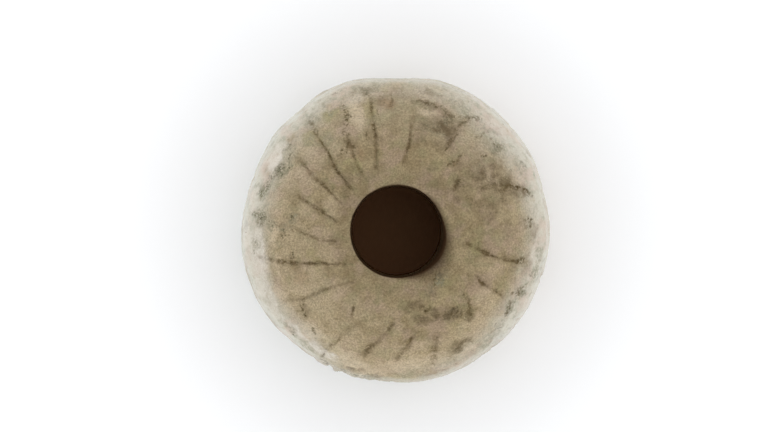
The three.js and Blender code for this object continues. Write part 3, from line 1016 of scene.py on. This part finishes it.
def dirt_wear_and_painted_light(surface, soil, radius, height, chipped):
    """The attributes that the stone's colours read, each from 0 to 1: dirt, wear, painted light and
    shade.
    """
    def marked(marks):
        return surface.upper * strongest(marks, surface.drifted_angle, surface.drifted_radius)

    low, patchy, rubbed = side_wear(surface, height)
    grime = GRIME_STRENGTH * smooth_step(GRIME_RADIUS - surface.drifted_radius, 0.0, GRIME_FADE)
    soil = surface.facing_up * soil + PIT_SOIL * surface.pits * surface.pitted
    soil = soil + BITE_SOIL * surface.ragged * surface.bites
    # the rim's pale weathering, partly painted light
    pale = rim_weathering_and_painted_light(surface.angle, radius) * (1 - low * (1 - LOW_PATCH_STRENGTH * patchy))
    # paler side below the arris, partly painted light
    flank = surface.outer * smooth_step(ARRIS_HEIGHT + FLANK_RISE - height, 0.0, FLANK_DROP)
    return {
        "soil": np.clip(soil, 0, 1),
        "cloud": np.maximum(marked(CLOUDS), surface.upper * grime),
        "speck": marked(SPECKS),
        "stain": surface.facing_up * scratch_stains(surface.x, surface.y),
        "skin": marked(SKINS),
        "moss": marked(MOSSES),
        "olive": marked(OLIVES),
        "ochre": marked(OCHRES),
        # paler stone and fresh chips; the broad patches towards -X and -Y are painted light
        "light": np.clip(marked(LIGHTS) + smooth_step(chipped, *FRESH_CHIP), 0, 1),
        "pale": pale * (1 - RUBBED_STRENGTH * rubbed),
        # painted shade of the hole's wall and upper mouth
        "wall": hole_shade(surface, radius, height),
        "deep": surface.wall * smooth_step(HEIGHT - height, *DEEP_WALL),
        "flank": flank * (1 - low),
    }


def whorl_with_wear_and_painted_light():
    """The place of every point of the mesh, in metres, and its dirt, wear, painted light and shade."""
    surface = Surface()
    cut, soil = cut_strokes(surface.x, surface.y)
    radius, height, chipped = carve(surface, cut)
    attributes = dirt_wear_and_painted_light(surface, soil, radius, height, chipped)
    return np.stack([*on_plan(surface.angle, radius), height], axis=-1) * MM, attributes


def build_whorl():
    places, attributes = whorl_with_wear_and_painted_light()
    stations, columns = places.shape[:2]
    station, column = np.meshgrid(np.arange(stations), np.arange(columns), indexing="ij")
    next_station, next_column = (station + 1) % stations, (column + 1) % columns
    corners = [
        station * columns + column,
        next_station * columns + column,
        next_station * columns + next_column,
        station * columns + next_column,
    ]
    faces = np.stack(corners, axis=-1).reshape(-1, 4)
    mesh = bpy.data.meshes.new("whorl_stone")
    mesh.from_pydata(places.reshape(-1, 3).tolist(), [], faces.tolist())
    for name, values in attributes.items():
        layer = mesh.attributes.new(name, "FLOAT", "POINT")
        layer.data.foreach_set("value", values.reshape(-1).astype(np.float32))
    mesh.polygons.foreach_set("use_smooth", np.ones(len(faces), bool))
    mesh.update()
    whorl = bpy.data.objects.new("whorl_stone", mesh)
    bpy.context.scene.collection.objects.link(whorl)
    return whorl


# ---- materials

class Nodes:
    """Adds nodes to one tree. A value given to a socket is a plain value or another socket."""

    def __init__(self, tree):
        self.tree = tree
        tree.nodes.clear()

    def add(self, kind, inputs=(), output=0, **settings):
        made = self.tree.nodes.new(kind)
        for name, value in settings.items():
            setattr(made, name, value)
        for name, value in dict(inputs).items():
            if isinstance(value, bpy.types.NodeSocket):
                self.tree.links.new(value, made.inputs[name])
            else:
                made.inputs[name].default_value = value
        return made.outputs[output]

    def grain(self, size, detail, roughness, distortion=0.0):
        """Noise from 0 to 1 with swells about `size` millimetres across."""
        place = self.add("ShaderNodeTexCoord", output="Object")
        inputs = {"Vector": place, "Scale": 1 / (size * MM), "Detail": detail}
        inputs.update({"Roughness": roughness, "Distortion": distortion})
        return self.add("ShaderNodeTexNoise", inputs, output="Fac")

    def attribute(self, name):
        return self.add("ShaderNodeAttribute", output="Fac", attribute_name=name)

    def maths(self, operation, first, second):
        return self.add("ShaderNodeMath", {0: first, 1: second}, operation=operation)

    def between(self, value, low, high):
        """0 below low and 1 above high, with a smooth way between."""
        inputs = {"Value": value, "From Min": low, "From Max": high}
        return self.add("ShaderNodeMapRange", inputs, interpolation_type="SMOOTHSTEP")

    def scaled(self, value, low, high, to_low, to_high):
        inputs = {"Value": value, "From Min": low, "From Max": high, "To Min": to_low, "To Max": to_high}
        return self.add("ShaderNodeMapRange", inputs)

    def spots(self, size, low, high, detail=3.0, roughness=0.55, distortion=0.0):
        """Grain that is 0 below one level of its noise and 1 above the other."""
        return self.between(self.grain(size, detail, roughness, distortion), low, high)

    def mix(self, share, first, second, blend="MIX"):
        inputs = {0: share, 6: first, 7: second}
        return self.add("ShaderNodeMix", inputs, output=2, data_type="RGBA", blend_type=blend)

    def tinted(self, colour, where, tint, strength):
        """The colour with some of a tint laid over part of it."""
        return self.mix(self.maths("MULTIPLY", where, strength), colour, tint)

    def marked(self, colour, name, tint, size, low, high):
        """The colour with a mark laid over it, an attribute of the mesh broken up by grain."""
        grain = self.spots(size, low, high, detail=4, roughness=0.65)
        return self.tinted(colour, self.attribute(name), tint, grain)

    def shaded(self, colour, shade):
        """The colour times a grey level."""
        grey = self.add("ShaderNodeCombineColor", {0: shade, 1: shade, 2: shade})
        return self.mix(1.0, colour, grey, "MULTIPLY")

    def connect_output(self, shader, kind="ShaderNodeOutputMaterial"):
        """Leads the shader to the tree's output."""
        output = self.tree.nodes.new(kind)
        self.tree.links.new(shader, output.inputs["Surface"])


def mottled_stone(nodes):
    """Stone in two shades, with pinkish and greenish patches."""
    mottle = nodes.spots(size=1.6, low=0.3, high=0.7, detail=4, roughness=0.6)
    colour = nodes.mix(mottle, STONE_DARK, STONE_LIGHT)
    pink = nodes.spots(size=2.2, low=0.46, high=0.66)
    colour = nodes.tinted(colour, pink, STONE_PINK, PINK_STRENGTH)
    green = nodes.spots(size=1.5, low=0.48, high=0.66, detail=4, roughness=0.6, distortion=0.4)
    return nodes.tinted(colour, green, STONE_GREEN, GREEN_STRENGTH)


def weathered_rim_and_painted_light(nodes):
    """Pale weathering and painted light of the rim, with pinkish and grey patches."""
    rim = nodes.mix(nodes.spots(size=2.4, low=0.45, high=0.65, detail=2), RIM_PALE, RIM_PINK)
    grey = nodes.spots(size=1.1, low=0.48, high=0.68, detail=5, roughness=0.7)
    return nodes.mix(grey, rim, RIM_GREY)


def hole_wall(nodes):
    """Wall of the hole with stains: painted shade at the top, paler further down as painted light on the
    dim lower wall.
    """
    wall = nodes.mix(nodes.attribute("deep"), WALL, WALL_DEEP)
    stains = nodes.grain(size=1.4, detail=4, roughness=0.6)
    return nodes.shaded(wall, nodes.scaled(stains, *NOISE_SPREAD, *WALL_SHADES))


def stone_colour(nodes, fine):
    """The stone, everything that lies on it, and painted light and shade, from the bottom up."""
    colour = mottled_stone(nodes)
    # paler stone and ochre; the broad paler patches towards -X and -Y are painted light
    for mark in STONE_AND_LIGHT_MARKS:
        colour = nodes.marked(colour, *mark)
    # the rim's pale weathering, partly painted light from the bright surround
    colour = nodes.marked(colour, "pale", weathered_rim_and_painted_light(nodes), *PALE_GRAIN)
    for mark in RIM_MARKS:
        colour = nodes.marked(colour, *mark)
    # paler side below the arris, partly painted light from the bright surround
    colour = nodes.tinted(colour, nodes.attribute("flank"), FLANK, FLANK_STRENGTH)
    for mark in DIRT_MARKS:
        colour = nodes.marked(colour, *mark)
    dots = nodes.spots(size=0.4, low=0.66, high=0.76, detail=2, roughness=0.5)
    colour = nodes.tinted(colour, dots, SPECK, DOT_STRENGTH)
    # painted shade darkens the hole's wall and upper mouth, with paler colour further down
    colour = nodes.mix(nodes.attribute("wall"), colour, hole_wall(nodes))

    lost = nodes.maths("MULTIPLY", nodes.attribute("pale"), PALE_CONTRAST_LOSS)
    contrast = nodes.maths("SUBTRACT", GRAIN_CONTRAST, lost)
    shade = nodes.maths("MULTIPLY", nodes.scaled(fine, *NOISE_SPREAD, -1.0, 1.0), contrast)
    return nodes.shaded(colour, nodes.maths("ADD", nodes.maths("MULTIPLY", shade, GRAIN_SHADE), 1.0))


def stone_material():
    material = bpy.data.materials.new("limestone")
    material.use_nodes = True
    nodes = Nodes(material.node_tree)
    fine = nodes.grain(size=0.2, detail=2, roughness=0.8)
    coarse = nodes.grain(size=0.5, detail=4, roughness=0.65)
    bump_height = nodes.maths("ADD", nodes.maths("MULTIPLY", fine, FINE_BUMP), coarse)
    bump_inputs = {"Strength": BUMP_STRENGTH, "Distance": BUMP_DEPTH * MM, "Height": bump_height}
    shader_inputs = {
        "Base Color": stone_colour(nodes, fine),
        "Roughness": nodes.scaled(fine, 0.0, 1.0, *ROUGHNESS),
        "Normal": nodes.add("ShaderNodeBump", bump_inputs, output="Normal"),
        "Specular IOR Level": 0.0,
    }
    nodes.connect_output(nodes.add("ShaderNodeBsdfPrincipled", shader_inputs))
    return material


def floor_material():
    material = bpy.data.materials.new("floor_white")
    material.use_nodes = True
    nodes = Nodes(material.node_tree)
    nodes.connect_output(nodes.add("ShaderNodeBsdfDiffuse", {"Color": FLOOR_WHITE, "Roughness": 0.5}))
    return material


# ---- set

def build_floor():
    turns = [math.tau * side / FLOOR_SIDES for side in range(FLOOR_SIDES)]
    reach = FLOOR_RADIUS * MM
    rim = [(reach * math.cos(turn), reach * math.sin(turn), -FLOOR_DROP * MM) for turn in turns]
    mesh = bpy.data.meshes.new("floor")
    mesh.from_pydata(rim, [], [list(range(FLOOR_SIDES))])
    floor = bpy.data.objects.new("floor", mesh)
    floor.data.materials.append(floor_material())
    bpy.context.scene.collection.objects.link(floor)
    return floor


def build_light():
    """A soft ring of light low all round, with little straight from above."""
    world = bpy.data.worlds.new("studio")
    world.use_nodes = True
    nodes = Nodes(world.node_tree)
    place = nodes.add("ShaderNodeTexCoord", output="Generated")
    height = nodes.add("ShaderNodeSeparateXYZ", {"Vector": place}, output="Z")
    lean_inputs = {0: place, 1: ZENITH_LEAN}
    lean = nodes.add("ShaderNodeVectorMath", lean_inputs, output="Value", operation="DOT_PRODUCT")
    zenith = nodes.shaded(ZENITH, nodes.maths("ADD", lean, 1.0))
    colour = nodes.mix(nodes.between(height, DARK_FROM, DARK_TO), HORIZON, zenith)
    background = nodes.add("ShaderNodeBackground", {"Color": colour, "Strength": LIGHT_STRENGTH})
    nodes.connect_output(background, "ShaderNodeOutputWorld")
    bpy.context.scene.world = world


def build_camera():
    data = bpy.data.cameras.new("camera")
    data.sensor_width = SENSOR_WIDTH
    data.lens = SENSOR_WIDTH * CAMERA_RISE / VIEW_WIDTH
    data.clip_start = 0.01
    data.clip_end = 10.0
    camera = bpy.data.objects.new("camera", data)
    camera.location = Vector((*VIEW_OFFSET, GIRTH_HEIGHT + CAMERA_RISE)) * MM
    bpy.context.scene.collection.objects.link(camera)
    bpy.context.scene.camera = camera


build_camera()
build_light()
bpy.context.scene.view_settings.view_transform = "Standard"
build_floor()

whorl = build_whorl()
whorl.data.materials.append(stone_material())
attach(whorl, "root")
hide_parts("whorl")
